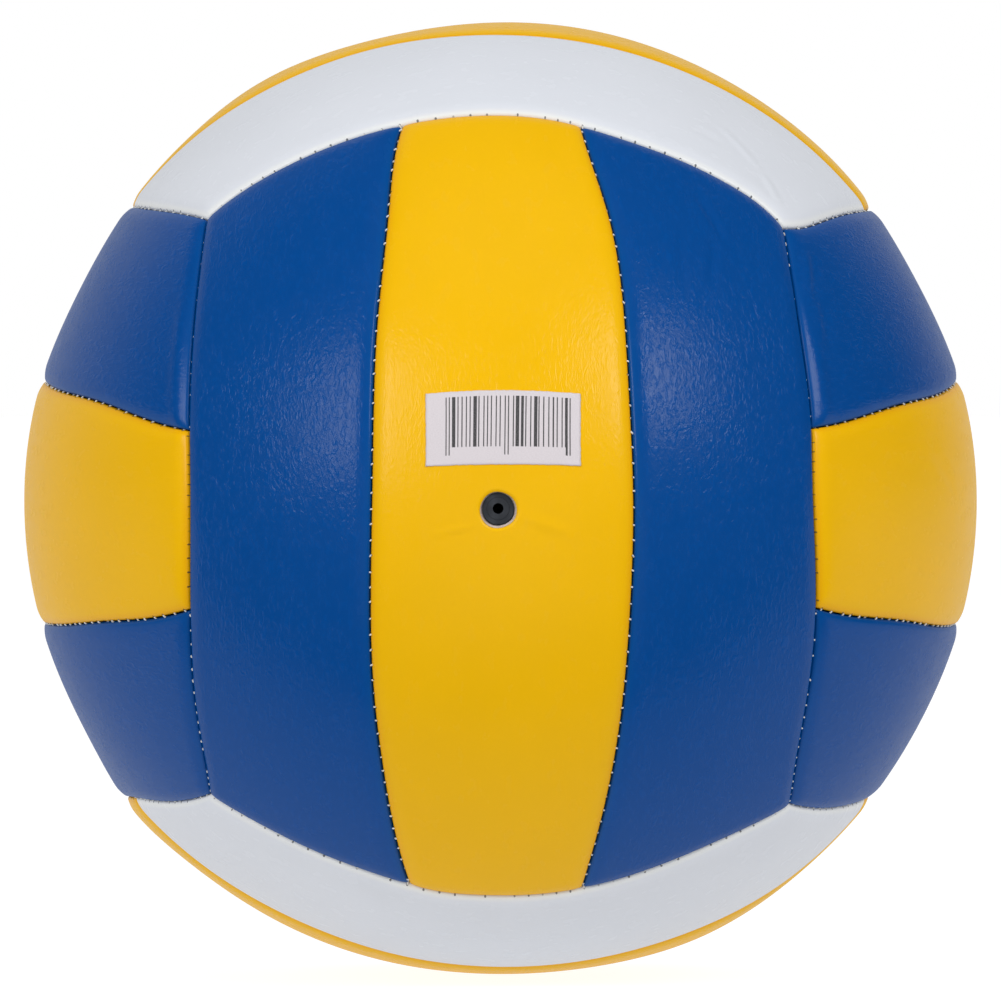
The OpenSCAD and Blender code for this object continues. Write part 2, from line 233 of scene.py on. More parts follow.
def swell(p):
    """How far the surface stands out at points p, in millimetres."""
    out = np.zeros(p.shape[:-1])
    for degrees, height, reach in SWELLS.values():
        a = math.radians(degrees)
        centre = BALL_R * np.array([math.cos(a), 0, math.sin(a)])
        out += height * np.exp(-((p - centre) ** 2).sum(-1) / (2 * reach**2))
    return out


def nearness(p, q, reach=SHIFT_REACH):
    """A smooth measure, 1 at no distance, of how near points p are to a point q."""
    return np.exp(-((p - q) ** 2).sum(-1) / (2 * reach**2))


def spread_shifts():
    """The places of the seam shifts, and the amounts that make a smooth field keep to them."""
    places = [BALL_R * unit(direction) for direction, _ in SEAM_SHIFTS.values()]
    shifts = np.array([shift for _, shift in SEAM_SHIFTS.values()], float)
    table = np.array([nearness(np.array(places), q) for q in places])
    return list(zip(places, np.linalg.solve(table, shifts)))


def settle(p, depth):
    """Moves points p of the ideal ball to where the real one has them, at a depth."""
    moved = sum(nearness(p, place)[..., None] * amount for place, amount in SPREAD_SHIFTS)
    for place, shift in LOCAL_SHIFTS.values():
        near = nearness(p, BALL_R * unit(place), LOCAL_REACH)
        moved = moved + near[..., None] * np.array(shift, float)
    direction = unit(p + moved)
    depth = np.asarray(depth, float)
    share = np.clip((INNER_DEPTH - depth) / (INNER_DEPTH - SKIN_T), 0, 1)
    return direction * (BALL_R - depth + share * swell(p))[..., None]


SPREAD_SHIFTS = spread_shifts()


def crossing(a, b, m, n):
    """Where the planes x = a z + b and y = m z + n meet the ball."""
    square = 1 + a**2 + m**2
    half = a * b + m * n
    z = (-half + np.sqrt(half**2 - square * (b**2 + n**2 - BALL_R**2))) / square
    return np.stack([a * z + b, m * z + n, z], axis=-1)


def end_plane(e):
    """The plane x = a z + b that runs at a distance e inside the +X end of a strip."""
    return (
        1 / math.tan(FACE_TILT),
        -BALL_R * math.cos(EDGE_TURN - e / BALL_R) / math.sin(FACE_TILT),
    )


def side_planes(strip, e):
    """The planes y = m z + n that run at a distance e inside a strip's two long sides."""
    m = math.tan(STRIP_TILT)
    if strip == 0:
        n = BALL_R * math.cos(STRIP_TURN + e / BALL_R) / math.cos(STRIP_TILT)
        return (-m, -n), (m, n)
    n = BALL_R * math.cos(STRIP_TURN - e / BALL_R) / math.cos(STRIP_TILT)
    outer = BALL_R * math.cos(EDGE_TURN + e / BALL_R) / math.cos(FACE_TILT)
    return (m, n), (math.tan(FACE_TILT), outer)


def strip_grid(strip, inset):
    """Points of a strip on the ball, columns along it and rows across it. The rows next to
    the seams run parallel to them, and the columns keep step with the stitches."""
    ends = [end_plane(inset + e) for e in EDGE_STEPS]
    cot, last = ends[-1]
    count = seam_facts("front", "strip")[2] * COLUMNS_PER_STITCH
    phi = STRIP_SWEEP * (2 * np.arange(count + 1) / count - 1)
    x = BALL_R * math.sin(STRIP_TURN) * np.sin(phi)
    z = BALL_R * (
        math.sin(STRIP_TURN) * np.cos(phi) * math.cos(STRIP_TILT)
        - math.sin(STRIP_TILT) * math.cos(STRIP_TURN)
    )
    share = x / (cot * z + last)
    share = share[END_COLUMNS:-END_COLUMNS]
    a = [-cot for _ in ends] + list(cot * share) + [cot for _ in ends]
    b = [-b for _, b in ends] + list(last * share) + [b for _, b in reversed(ends)]
    near = [side_planes(strip, inset + e) for e in EDGE_STEPS]
    first, second = np.array(near[-1])
    w = np.arange(1, ROW_COUNT + 1) / (ROW_COUNT + 1)
    between = first + w[:, None] * (second - first)
    rows = np.array([p[0] for p in near] + list(between) + [p[1] for p in reversed(near)])
    a, b = np.array(a)[:, None], np.array(b)[:, None]
    return crossing(a, b, rows[None, :, 0], rows[None, :, 1])


def seam_distances(strip, p):
    """Distances of points from a strip's seams, and how far along each seam they lie, in
    radians about its axis: a list of (distance, angle, kind of seam)."""
    seams = [("end", 1, 1), ("end", -1, 1)]
    if strip == 0:
        seams += [("strip", 1, -1), ("strip", -1, -1)]
    else:
        seams += [("strip", 1, 1), ("long", 1, -1)]
    out = []
    for kind, side, inward in seams:
        axis = seam_axis(kind, side)
        turn = STRIP_TURN if kind == "strip" else EDGE_TURN
        angle = np.arccos(np.clip(p @ axis / BALL_R, -1, 1))
        along = p[..., 1] if kind == "end" else p[..., 0]
        phi = np.arcsin(np.clip(along / (BALL_R * math.sin(turn)), -1, 1))
        out.append((inward * BALL_R * (turn - angle), phi, kind))
    return out


def roll(e):
    """Fall of the surface at a distance e from a panel's wall, in millimetres."""
    soft = np.clip(1 - e / ROLL_W, 0, 1)
    sharp = np.clip(1 - e / EDGE_R, 0, 1)
    return ROLL_DEPTH * soft**2 + EDGE_R * (1 - np.sqrt(1 - sharp**2))


def punch(p, hole_r):
    """Opens a round hole about the middle of a grid: a square of cells becomes a circle."""
    i, j = p.shape[0] // 2, p.shape[1] // 2
    x = p[..., 0] / p[i + HOLE_CELLS, j, 0]
    y = p[..., 1] / p[i, j + HOLE_CELLS, 1]
    rho = np.maximum(np.abs(x), np.abs(y))
    near = (rho > TINY) & (rho < HOLE_REACH) & (p[..., 2] > 0)
    angle = np.arctan2(y, x)
    uneven = sum((share * np.sin(n * angle + start) for n, share, start in HOLE_WAVES), 1.0)
    r = hole_r * uneven + (rho - 1) * HOLE_SPREAD
    t = np.clip((rho - 1) / (HOLE_REACH - 1), 0, 1)
    t = t * t * (3 - 2 * t)
    out = p.copy()
    out[..., 0] = np.where(near, (1 - t) * r * np.cos(angle) + t * p[..., 0], p[..., 0])
    out[..., 1] = np.where(near, (1 - t) * r * np.sin(angle) + t * p[..., 1], p[..., 1])
    out[..., 2] = np.sqrt(BALL_R**2 - out[..., 0] ** 2 - out[..., 1] ** 2)
    hole = np.zeros(rho.shape, bool)
    hole[i - HOLE_CELLS + 1 : i + HOLE_CELLS, j - HOLE_CELLS + 1 : j + HOLE_CELLS] = True
    return out, hole


def new_object(name, data):
    """A new object in the scene."""
    piece = bpy.data.objects.new(name, data)
    bpy.context.scene.collection.objects.link(piece)
    return piece


class Build:
    """Collects the points and faces of one mesh."""

    def __init__(self):
        self.points, self.faces, self.size = [], [], 0

    def add(self, points):
        flat = np.asarray(points, float).reshape(-1, 3)
        ids = np.arange(self.size, self.size + len(flat)).reshape(np.shape(points)[:-1])
        self.points.append(flat)
        self.size += len(flat)
        return ids

    def sheet(self, ids, step, outward, hole=None):
        """Faces over a grid of points. With a step, the inner ones are left out and the
        cells grow, while those at the rim keep all its points."""
        nc, nr = ids.shape
        cols = sorted(set(range(0, nc, step)) | {nc - 1})
        rows = sorted(set(range(0, nr, step)) | {nr - 1})
        for c0, c1 in zip(cols, cols[1:]):
            for r0, r1 in zip(rows, rows[1:]):
                if hole is not None and hole[[c0, c0, c1, c1], [r0, r1, r0, r1]].any():
                    continue
                low = ids[c0 : c1 + 1, r0] if r0 == 0 else ids[[c0, c1], r0]
                right = ids[c1, r0 : r1 + 1] if c1 == nc - 1 else ids[c1, [r0, r1]]
                high = ids[c0 : c1 + 1, r1] if r1 == nr - 1 else ids[[c0, c1], r1]
                left = ids[c0, r0 : r1 + 1] if c0 == 0 else ids[c0, [r0, r1]]
                ring = [*low[:-1], *right[:-1], *high[:0:-1], *left[:0:-1]]
                self.faces.append(ring if outward else ring[::-1])

    def band(self, upper, lower):
        """Faces between two closed loops of points."""
        n = len(upper)
        for i in range(n):
            k = (i + 1) % n
            self.faces.append([upper[i], lower[i], lower[k], upper[k]])

    def object(self, name, attributes=None):
        points = np.vstack(self.points)
        used = np.zeros(len(points), bool)
        for f in self.faces:
            used[f] = True
        new_id = np.cumsum(used) - 1
        mesh = bpy.data.meshes.new(name)
        faces = [new_id[f].tolist() for f in self.faces]
        mesh.from_pydata((points[used] * MM).tolist(), [], faces)
        mesh.polygons.foreach_set("use_smooth", np.ones(len(faces), bool))
        for key, values in (attributes or {}).items():
            layer = mesh.attributes.new(key, "FLOAT_VECTOR", "POINT")
            layer.data.foreach_set("vector", values[used].astype(np.float32).ravel())
        mesh.update()
        return new_object(name, mesh)


def rim(ids):
    """The loop of points round a grid, anticlockwise seen from outside."""
    return [*ids[:-1, 0], *ids[-1, :-1], *ids[:0:-1, -1], *ids[0, :0:-1]]


def hole_rim(ids, hole):
    """The loop of points round the square of cells that a hole leaves out."""
    cols, rows = np.where(hole)
    c0, c1, r0, r1 = cols.min() - 1, cols.max() + 1, rows.min() - 1, rows.max() + 1
    return rim(ids[c0 : c1 + 1, r0 : r1 + 1])


# Fine creases and puckers of the cover: two ends on the front as X and Z in millimetres,
# width and depth. Negative depths are ridges.
CREASES = {
    "valve_left": ((-14.3, -5.6), (-4.4, -3.0), 0.5, -0.3),
    "valve_right": ((3.9, -0.9), (15.5, -5.4), 1.0, -0.22),
    "pucker_right_1": ((64.5, 57), (65, 46), 1.0, -0.3),
    "pucker_right_2": ((66.0, 48), (67.3, 37), 1.2, -0.25),
    "blue_right_1": ((41.5, 67), (48, 55), 1.1, 0.25),
    "blue_right_2": ((45.5, 59), (43.5, 47), 1.2, 0.2),
    "blue_right_3": ((38, 60), (37, 46), 1.2, 0.14),
    "white_right_1": ((47, 81), (56, 71), 0.9, -0.25),
    "white_right_2": ((56, 71), (59.5, 64.5), 0.9, -0.25),
    "white_right_3": ((42, 80), (49, 76), 1.2, 0.14),
    "far_right": ((92, 12), (98, 4), 1.6, 0.2),
}

# Folds that the seams raise beside them, in the same form but with no hollow about them.
FOLDS = {
    "left_lip": ((-64.5, 46), (-66.8, 14), 1.7, -0.35),
    "right_lip": ((62.6, 52), (67.2, 17), 1.9, -0.42),
}

# Their profile: how high the shoulders stand beside the groove, how far off in widths, the
# power of the fading along it, and how far it goes past its ends.
CREASE_SHOULDER, CREASE_FADE = 0.45, 2
FOLD_SHOULDER, FOLD_FADE = 0.0, 4
SHOULDER_OFF = 1.7
OVERRUN = 0.2


def crease_fall(p):
    """Fall of the surface in the creases and folds at points p of the ball."""
    out = np.zeros(p.shape[:-1])
    lines = [(line, CREASE_SHOULDER, CREASE_FADE) for line in CREASES.values()]
    lines += [(line, FOLD_SHOULDER, FOLD_FADE) for line in FOLDS.values()]
    for ((x0, z0), (x1, z1), width, depth), height, power in lines:
        a = np.array([x0, -math.sqrt(BALL_R**2 - x0**2 - z0**2), z0])
        b = np.array([x1, -math.sqrt(BALL_R**2 - x1**2 - z1**2), z1])
        t = np.clip((p - a) @ (b - a) / ((b - a) @ (b - a)), -OVERRUN, 1 + OVERRUN)
        foot = a + t[..., None] * (b - a)
        foot = BALL_R * unit(foot)
        distance = np.linalg.norm(p - foot, axis=-1)
        fade = np.clip(1 - (2 * t - 1) ** power, 0, 1)
        groove = np.exp(-((distance / width) ** 2))
        shoulder = height * np.exp(-(((distance - SHOULDER_OFF * width) / width) ** 2))
        out += depth * fade * (groove - shoulder)
    return out


# How far apart the panels lie in the grain's pattern, so that no two look the same.
PANEL_STEP = 40.0


def cover_values(face, strip, p, number, cut):
    """What the cover's material reads at each point: its place on the panel, and its
    nearest seam as stitches along it, distance from it and whether the edge is cut."""
    place = np.stack(
        [
            BALL_R * np.arctan2(p[..., 0], p[..., 2]),
            BALL_R * np.arcsin(np.clip(p[..., 1] / BALL_R, -1, 1)),
            np.full(p.shape[:-1], PANEL_STEP * number),
        ],
        axis=-1,
    )
    seams = seam_distances(strip, p)
    distances = np.stack([d for d, _, _ in seams], axis=-1)
    nearest = distances.argmin(-1)
    stitches = []
    for _, phi, kind in seams:
        _, sweep, count = seam_facts(face, kind)
        stitches.append((phi / sweep + 1) * count / 2)
    stitches = np.stack(stitches, axis=-1)
    along = np.take_along_axis(stitches, nearest[..., None], -1)[..., 0]
    least = distances.min(-1) - INSET
    return place.reshape(-1, 3), np.stack([along, least, cut], axis=-1).reshape(-1, 3)


def panel_fall(strip, p, body_p):
    """Fall of the outer surface at points p of the canonical strip."""
    falls = [roll(np.clip(d - INSET, 0, None)) for d, _, _ in seam_distances(strip, p)]
    edge = np.sqrt(sum(f**2 for f in falls))
    return edge + crease_fall(body_p)


def panel_grids(strip, pierced):
    """The grids of a panel's outside, its underside and its foam, and the hole they share."""
    insets = {"skin": INSET, "lining": INSET + SKIN_T, "foam": INSET + SKIN_T + EASE}
    radii = {"skin": VALVE_HOLE_R, "lining": VALVE_HOLE_R, "foam": FOAM_HOLE_R}
    grids, hole = {key: strip_grid(strip, inset) for key, inset in insets.items()}, None
    if pierced:
        for key, hole_r in radii.items():
            grids[key], hole = punch(grids[key], hole_r)
    return grids, hole


def cover_mesh(name, face, strip, number, turn, grids, hole):
    """The cover of a panel: its outside, the walls at the seams and the roof over the foam."""
    build = Build()
    values = []

    def layer(p, depth, cut=0.0):
        body_p = p @ turn.T
        values.append(cover_values(face, strip, p, number, np.full(p.shape[:-1], cut)))
        return build.add(settle(body_p, depth))

    skin, lining = grids["skin"], grids["lining"]
    outer = layer(skin, panel_fall(strip, skin, skin @ turn.T))
    build.sheet(outer, 1, True, hole)
    loop = np.array(rim(outer))
    skin_rim, lining_rim = skin.reshape(-1, 3)[loop], lining.reshape(-1, 3)[loop]
    loops = [loop, layer(skin_rim, WALL_MIDDLE), layer(skin_rim, INNER_DEPTH)]
    loops.append(layer(lining_rim, INNER_DEPTH))
    roof = layer(lining, SKIN_T + FILM)
    loops.append(rim(roof))
    for upper, lower in zip(loops, loops[1:]):
        build.band(upper, lower)
    build.sheet(roof, COARSE_STEP if hole is None else 1, False, hole)
    if hole is not None:
        hole_loop = np.array(hole_rim(outer, hole))
        cut_p = skin.reshape(-1, 3)[hole_loop]
        levels = [hole_loop] + [layer(cut_p, depth, 1.0) for depth in HOLE_WALL_DEPTHS]
        levels.append(hole_rim(roof, hole))
        for upper, lower in zip(levels, levels[1:]):
            build.band(lower, upper)
    cover, seam = (np.vstack(v) for v in zip(*values))
    return build.object(f"{name}_cover", {"cover": cover, "seam": seam})


def pad_mesh(name, turn, foam, hole):
    """The foam that pads a panel."""
    build = Build()
    step = COARSE_STEP if hole is None else 1
    body_foam = foam @ turn.T
    top = build.add(settle(body_foam, SKIN_T + FILM + EASE))
    bottom = build.add(settle(body_foam, INNER_DEPTH))
    build.sheet(top, step, True, hole)
    build.band(rim(top), rim(bottom))
    build.sheet(bottom, step, False, hole)
    if hole is not None:
        build.band(hole_rim(bottom, hole), hole_rim(top, hole))
    return build.object(f"{name}_pad")


def make_panel(face, place, strip, number, material, foam_material):
    """One strip of a face: its cover, and the foam under it."""
    turn = FACES[face] @ (HALF if strip == -1 else np.eye(3))
    name = f"{face}_{place}"
    grids, hole = panel_grids(abs(strip), name == PIERCED_PANEL)

    panel = cover_mesh(name, face, abs(strip), number, turn, grids, hole)
    panel.data.materials.append(material)
    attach(panel, "root")
    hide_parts(f"{name}_panel")

    pad = pad_mesh(name, turn, grids["foam"], hole)
    pad.data.materials.append(foam_material)
    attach(pad, "root")
    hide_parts(f"{name}_foam")


# Stitches: short strands that cross the gap between two panels. Their tops lie this deep,
# and their ends dip by as much more.
STRAND_R = 0.2
STRAND_TAPER = 0.35
STRAND_REACH = 0.62
STRAND_SIDE = 0.12
STRAND_SLANT = 0.25
STRAND_TOP = 0.93
STRAND_DIP = 0.75
STRAND_SIDES = 6
STRAND_POINTS = 5

# How uneven they are, and the share of them that sinks out of sight, to this depth.
PLACE_UNEVEN = 0.12
TOP_UNEVEN = 0.16
SLANT_UNEVEN = 0.12
HIDDEN_SHARE = 0.12
HIDDEN_TOP = 1.5
STITCH_SEED = 7
rng = np.random.default_rng(STITCH_SEED)

# Places as directions where the covers press together and the stitches lie deeper.
TIGHT_PLACES = ((-0.605, -0.71, 0.36), (0.605, -0.71, 0.36))
TIGHT_REACH = 20.0
TIGHT_DEPTH = 0.32


def place_on_seam(axis, first, second, turn, phi):
    """The point of a seam circle, on a ball of radius 1, at an angle phi about its axis."""
    out = math.cos(phi) * first + math.sin(phi) * second
    return math.cos(turn) * axis + math.sin(turn) * out


def strand_path(axis, first, second, turn, phi, slant, top):
    """Points across a seam circle at an angle phi about its axis."""
    on_seam = place_on_seam(axis, first, second, turn, phi)
    out = math.cos(phi) * first + math.sin(phi) * second
    across = math.cos(turn) * out - math.sin(turn) * axis
    along = -math.sin(phi) * first + math.cos(phi) * second
    path = []
    for s in np.linspace(-1, 1, STRAND_POINTS):
        p = BALL_R * on_seam + STRAND_SIDE * across + s * (STRAND_REACH * across + slant * along)
        path.append((BALL_R * unit(p), top + STRAND_DIP * s * s))
    return path


def add_strand(build, path, turn_matrix):
    """A closed tube along a path of points and depths."""
    points = np.array([p for p, _ in path]) @ turn_matrix.T
    depths = np.array([d for _, d in path])
    centre = settle(points, depths)
    ahead = unit(np.gradient(centre, axis=0))
    up = unit(centre)
    side = unit(np.cross(ahead, up))
    up = np.cross(side, ahead)
    angles = np.arange(STRAND_SIDES) * 2 * math.pi / STRAND_SIDES
    ring = (
        np.cos(angles)[None, :, None] * side[:, None, :]
        + np.sin(angles)[None, :, None] * up[:, None, :]
    )
    thick = STRAND_R * (1 - STRAND_TAPER * np.linspace(-1, 1, len(path)) ** 4)
    ids = build.add(centre[:, None, :] + thick[:, None, None] * ring)
    for k in range(len(path) - 1):
        build.band(ids[k + 1], ids[k])
    build.faces.append(list(ids[0]))
    build.faces.append(list(ids[-1][::-1]))


def stitch_seam(build, face, kind, side):
    """A row of stitches along one seam of a face."""
    axis = seam_axis(kind, side)
    along = np.array([0.0, 1, 0]) if kind == "end" else np.array([1.0, 0, 0])
    first = np.cross(along, axis)
    first = first if first[2] > 0 else -first
    turn, sweep, count = seam_facts(face, kind)
    for i in range(count):
        phi = sweep * ((2 * i + 1 + rng.normal(0, PLACE_UNEVEN)) / count - 1)
        top = STRAND_TOP + abs(rng.normal(0, TOP_UNEVEN))
        at_middle_strip = BALL_R * math.sin(turn) * abs(math.sin(phi)) < END_SIDE
        if rng.random() < HIDDEN_SHARE or kind == "end" and at_middle_strip:
            top = HIDDEN_TOP
        slant = STRAND_SLANT + rng.normal(0, SLANT_UNEVEN)
        middle = FACES[face] @ (BALL_R * place_on_seam(axis, first, along, turn, phi))
        tight = max(nearness(middle, BALL_R * unit(place), TIGHT_REACH) for place in TIGHT_PLACES)
        path = strand_path(axis, first, along, turn, phi, slant, top + TIGHT_DEPTH * tight)
        add_strand(build, path, FACES[face])


def make_threads(face, material):
    """The stitches of a face: those between its strips, and those across their ends."""
    for kind, word in (("strip", "seam"), ("end", "edge")):
        build = Build()
        for side in (1, -1):
            stitch_seam(build, face, kind, side)
        threads = build.object(f"{face}_{word}_stitches")
        threads.data.materials.append(material)
        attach(threads, "root")
        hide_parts(f"{face}_{word}_threads")


class Nodes:
    """Short calls that add nodes to a tree and return what they give."""

    def __init__(self, tree):
        self.tree = tree

    def add(self, kind, inputs=None, **settings):
        node = self.tree.nodes.new(kind)
        for key, value in settings.items():
            setattr(node, key, value)
        for key, value in (inputs or {}).items():
            self.link(value, node.inputs[key])
        return node

    def link(self, value, socket):
        if isinstance(value, bpy.types.NodeSocket):
            self.tree.links.new(value, socket)
        else:
            socket.default_value = value

    def math(self, operation, a, b=0.0):
        return self.add("ShaderNodeMath", {0: a, 1: b}, operation=operation).outputs[0]

    def read(self, attribute):
        node = self.add("ShaderNodeAttribute", attribute_name=attribute)
        return node.outputs["Vector"]

    def place(self):
        return self.add("ShaderNodeTexCoord").outputs["Object"]

    def split(self, vector):
        return self.add("ShaderNodeSeparateXYZ", {0: vector}).outputs

    def random(self, value):
        node = self.add("ShaderNodeTexWhiteNoise", {"W": value}, noise_dimensions="1D")
        return node.outputs["Value"]

    def wave(self, vector, scale, distortion=0.0, **settings):
        inputs = {"Vector": vector, "Scale": scale, "Distortion": distortion}
        return self.add("ShaderNodeTexWave", inputs, **settings).outputs[1]

    def ramp(self, value, low, high, to_low=0.0, to_high=1.0):
        inputs = {"Value": value, "From Min": low, "From Max": high}
        inputs |= {"To Min": to_low, "To Max": to_high}
        node = self.add("ShaderNodeMapRange", inputs, interpolation_type="SMOOTHSTEP")
        return node.outputs["Result"]

    def scaled(self, vector, scale):
        node = self.add("ShaderNodeVectorMath", {0: vector, 1: scale}, operation="MULTIPLY")
        return node.outputs["Vector"]

    def noise(self, vector, scale=1.0, detail=2.0, roughness=0.5, distortion=0.0):
        inputs = {"Vector": vector, "Scale": scale, "Detail": detail}
        inputs |= {"Roughness": roughness, "Distortion": distortion}
        return self.add("ShaderNodeTexNoise", inputs).outputs[0]

    def mix(self, factor, first, second):
        node = self.add("ShaderNodeMix", data_type="RGBA", clamp_factor=True)
        self.link(factor, node.inputs["Factor"])
        for socket, value in (("A", first), ("B", second)):
            target = [s for s in node.inputs if s.name == socket and s.type == "RGBA"][0]
            self.link((*value, 1) if isinstance(value, tuple) else value, target)
        return [s for s in node.outputs if s.type == "RGBA"][0]

    def bump(self, height, strength, distance):
        inputs = {"Height": height, "Strength": strength, "Distance": distance}
        return self.add("ShaderNodeBump", inputs).outputs["Normal"]


class Shader(Nodes):
    """A material with one Principled shader."""

    def __init__(self, name, colour, roughness, **sockets):
        self.material = bpy.data.materials.new(name)
        self.material.use_nodes = True
        super().__init__(self.material.node_tree)
        self.bsdf = self.tree.nodes["Principled BSDF"]
        self.finish(Base_Color=(*colour, 1), Roughness=roughness, **sockets)

    def finish(self, **sockets):
        for key, value in sockets.items():
            self.link(value, self.bsdf.inputs[key.replace("_", " ")])
        return self.material


def tinted(colour, share, lift=0.0):
    """A colour made lighter or darker."""
    return tuple(min(1.0, share * c + lift) for c in colour)


# Cover colours, linear. The edge colours are painted light on the turned edge beside a seam:
# painted shade on the yellow, a painted highlight on the white, and almost no change on the blue.
YELLOW = (0.895, 0.495, 0.0)
YELLOW_EDGE_SHADE = (0.86, 0.42, 0.0)
BLUE = (0.0, 0.067, 0.298)
BLUE_EDGE_SHADING = (0.0, 0.07, 0.295)
WHITE = (0.733, 0.761, 0.818)
WHITE_EDGE_HIGHLIGHT = (0.85, 0.86, 0.84)
# The cut wall of the valve hole: its core colour, darkened with painted shade.
CUT_CORE_AND_SHADE = (0.34, 0.25, 0.22)
# Painted shade in the needle holes.
NEEDLE_HOLE_SHADE = (0.02, 0.024, 0.035)

# How they vary: tones of the mottling, how dark the painted shade in the grain's wrinkles is, and
# how far from a seam and how strongly the painted shade and highlight of the turned edge show.
MOTTLE = (0.99, 1.01)
WRINKLE_SHADE_TINT = 0.55
EDGE_SHADING_FROM, EDGE_SHADING_TO = 0.2, 1.9
EDGE_SHADING_SHARE = 0.85

# The covers' clear coat: its share, and its roughness in well kept and in worn places.
COVER_SHINE = 0.38
COAT_ROUGH = (0.22, 0.29)

# The grain: scales of its patterns along and across the strip, for each millimetre.
WRINKLE_SCALE = (0.42, 0.95, 1.0)
FINE_SCALE = (1.6, 2.6, 1.0)
PATCH_SCALE = (0.045, 0.06, 1.0)
WEAR_SCALE = (0.2, 0.3, 1.0)

# Its depth in millimetres and the share of painted shade in its wrinkles by cover, how wide the
# wrinkles are cut from their noise, the share of the fine pattern, and how much is left in flat
# patches and at a seam.
GRAIN_DEPTH = {"yellow_cover": 0.045, "blue_cover": 0.065, "white_cover": 0.03}
WRINKLE_SHADE_SHARE = {"yellow_cover": 0.02, "blue_cover": 0.16, "white_cover": 0.015}
WRINKLE_CUT = 0.22
FINE_SHARE = 0.15
PATCH_GRAIN = 0.6
SEAM_GRAIN = 0.15
SEAM_FROM, SEAM_TO = 0.6, 3.0

# Needle holes, painted as dark spots of shade: how far they stray from the edge, and radii where
# the shade is whole and where it ends.
HOLE_STRAY = 0.25
NEEDLE_R = 0.14
NEEDLE_END = 0.27


def grain(s, place, distance, patches):
    """The height of the cover's grain, and the wrinkles in it."""
    # Worm-like wrinkles: the middle contour of a stretched noise.
    wrinkle = s.noise(s.scaled(place, WRINKLE_SCALE), distortion=0.6)
    wrinkle = s.math("ABSOLUTE", s.math("SUBTRACT", wrinkle, 0.5))
    wrinkle = s.ramp(wrinkle, 0.0, WRINKLE_CUT)
    fine = s.noise(s.scaled(place, FINE_SCALE), roughness=0.6, distortion=0.3)
    height = s.math("ADD", wrinkle, s.math("MULTIPLY", fine, FINE_SHARE))
    patch = s.ramp(patches, 0.3, 0.7, PATCH_GRAIN, 1.0)
    depth = s.math("MULTIPLY", patch, s.ramp(distance, SEAM_FROM, SEAM_TO, SEAM_GRAIN, 1.0))
    return s.math("MULTIPLY", height, depth), wrinkle


def needle_hole_shade(s, along, distance, hole_shade_share):
    """Painted shade of needle holes at the edge, some of them closed up."""
    chance = s.random(s.math("FLOOR", along))
    step = s.math("SUBTRACT", s.math("FRACT", along), 0.5)
    hole_x = s.math("MULTIPLY", step, WIDE_PITCH)
    hole_y = s.math("SUBTRACT", distance, s.math("MULTIPLY", chance, HOLE_STRAY))
    square = s.math("ADD", s.math("POWER", hole_x, 2.0), s.math("POWER", hole_y, 2.0))
    seen = s.ramp(s.math("SQRT", square), NEEDLE_R, NEEDLE_END, hole_shade_share, 0.0)
    return s.math("MULTIPLY", seen, s.ramp(chance, 0.05, 0.4))


def cover_material(name, colour, edge_shading, hole_shade_share):
    """Soft coated leather with a fine wrinkled grain that runs along the strip."""
    s = Shader(name, colour, 0.5, Specular_IOR_Level=0.0, Coat_Weight=COVER_SHINE)
    place = s.read("cover")
    along, distance, cut = s.split(s.read("seam"))
    patches = s.noise(s.scaled(place, PATCH_SCALE))
    height, wrinkle = grain(s, place, distance, patches)
    # Colour: mottled a little, painted shade in the wrinkles of the grain, and painted light on
    # the turned edge.
    base = s.mix(s.ramp(patches, 0.25, 0.75), *(tinted(colour, share) for share in MOTTLE))
    # Painted shade: darker where the wrinkles of the grain sink.
    wrinkle_shade = s.ramp(wrinkle, 0.0, 1.0, WRINKLE_SHADE_SHARE[name], 0.0)
    base = s.mix(wrinkle_shade, base, tinted(colour, WRINKLE_SHADE_TINT))
    # The edge colour paints light on the turned edge by a seam: shade on the yellow, a highlight
    # on the white.
    base = s.mix(s.ramp(distance, EDGE_SHADING_FROM, EDGE_SHADING_TO, EDGE_SHADING_SHARE, 0.0), base, edge_shading)
    # Painted shade: dark spots where the needle holes are.
    base = s.mix(needle_hole_shade(s, along, distance, hole_shade_share), base, NEEDLE_HOLE_SHADE)
    # The cut wall in the valve hole: its core colour with painted shade.
    base = s.mix(cut, base, CUT_CORE_AND_SHADE)
    worn = s.noise(s.scaled(place, WEAR_SCALE), detail=3.0)
    coat = s.bump(height, strength=1.0, distance=GRAIN_DEPTH[name] * MM)
    rough = s.ramp(worn, 0.2, 0.8, *COAT_ROUGH)
    return s.finish(Base_Color=base, Coat_Roughness=rough, Coat_Normal=coat)


# The other materials: a plain colour, two tones for the pattern, and the pattern's scale for
# each metre and depth in metres.
THREAD = (0.78, 0.78, 0.75)
THREAD_TONES = (0.82, 0.82, 0.79), (0.66, 0.66, 0.64)
TWIST_SCALE, LINT_SCALE = 900.0, 2500.0
TWIST_DEPTH = 0.05 * MM
FOAM = (0.8, 0.66, 0.6)
FOAM_TONES = (0.84, 0.72, 0.66), (0.62, 0.5, 0.45)
CELL_SCALE = 2800.0
CELL_DEPTH = 0.15 * MM
CLOTH = (0.28, 0.28, 0.26)
CLOTH_TONES = (0.2, 0.2, 0.19), (0.4, 0.4, 0.37)
WEAVE_SCALE = 320.0
WEAVE_DEPTH = 0.2 * MM
BLADDER_RUBBER = (0.02, 0.02, 0.02)
BLADDER_SCALE = 900.0
VALVE_RUBBER = (0.022, 0.026, 0.034)
VALVE_SCALE = 1500.0
SPECK_DEPTH = 0.08 * MM
DUST_SCALE = 420.0
DUST_SHARE = 0.6
RUBBER_ROUGH = (0.5, 0.72)


